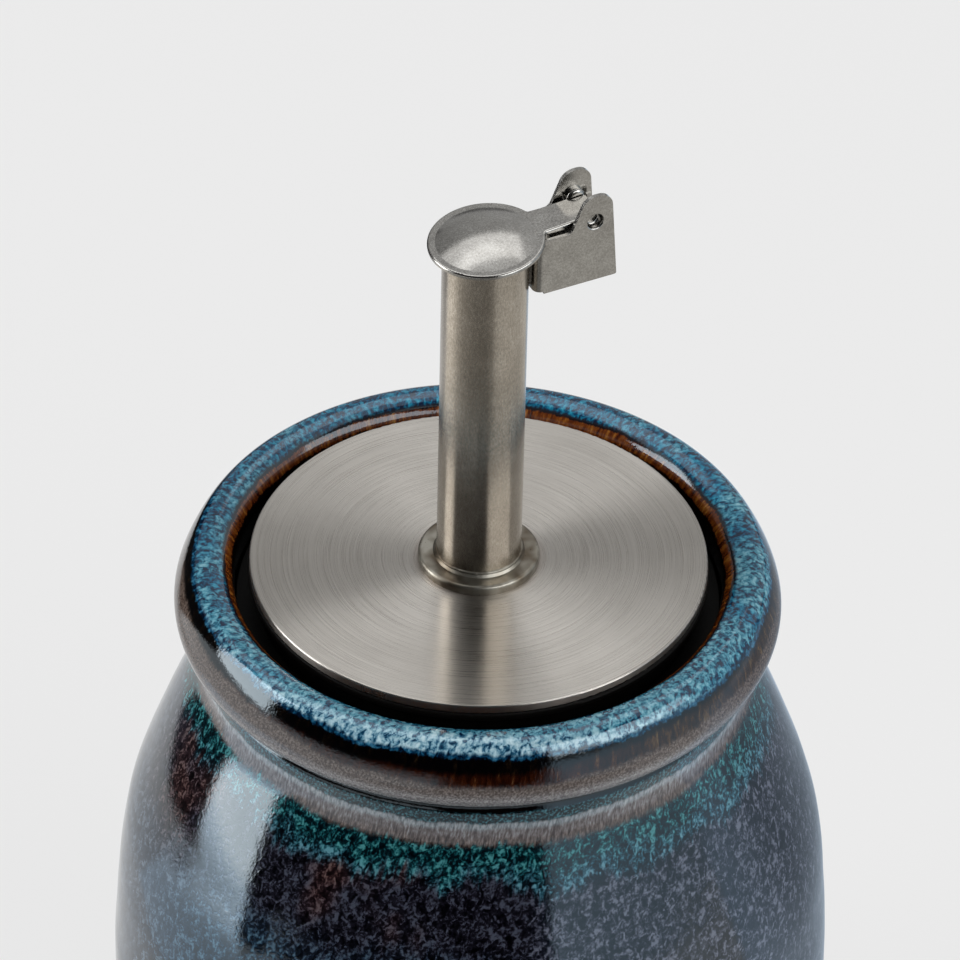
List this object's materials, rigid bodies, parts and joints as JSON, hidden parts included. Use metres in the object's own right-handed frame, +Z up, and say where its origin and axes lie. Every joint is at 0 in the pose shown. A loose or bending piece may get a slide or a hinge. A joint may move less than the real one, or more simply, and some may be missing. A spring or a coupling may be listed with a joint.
{
  "type": "syrup dispenser",
  "caption": "Glazed stoneware syrup jar with a flush steel stopper lid and an upright pouring tube closed by a small hinged domed flap.",
  "frame": {"origin": "middle of the jar's foot, on the surface it stands on", "axes": "+Z up along the jar and the pouring tube, +X from the tube towards the flap's hinge, +Y along the flap's pivot"},
  "size_m": [0.1046, 0.1046, 0.1745],
  "materials": {
    "jar_glaze": "glossy reactive glaze: blue and teal mottling over dark brown",
    "lid_steel": "stainless, circular brushed",
    "core_plastic": "moulded black polypropylene",
    "seal_silicone": "black food-grade silicone",
    "spout_steel": "stainless tube, fine satin grain",
    "fastener_steel": "plain stainless",
    "hinge_steel": "tumbled stainless sheet"
  },
  "bodies": {
    "jar": {"jar_body": "jar_glaze"},
    "lid": {"lid_disc": "lid_steel", "plug_core": "core_plastic", "seal_ring": "seal_silicone", "spout_tube": "spout_steel", "spout_collar": "spout_steel", "clamp_washer": "fastener_steel", "clamp_nut": "fastener_steel", "hinge_bracket": "hinge_steel"},
    "flap": {"flap_cap": "hinge_steel"}
  },
  "joints": [
    {"name": "lid_lift", "type": "slide", "parent": "jar", "child": "lid", "axis": [0, 0, 1], "range_m": [0, 0.06]},
    {"name": "flap_hinge", "type": "hinge", "parent": "lid", "child": "flap", "pos_m": [0.0149, 0, 0.1703], "axis": [0, 1, 0], "range_deg": [0, 100]}
  ]
}
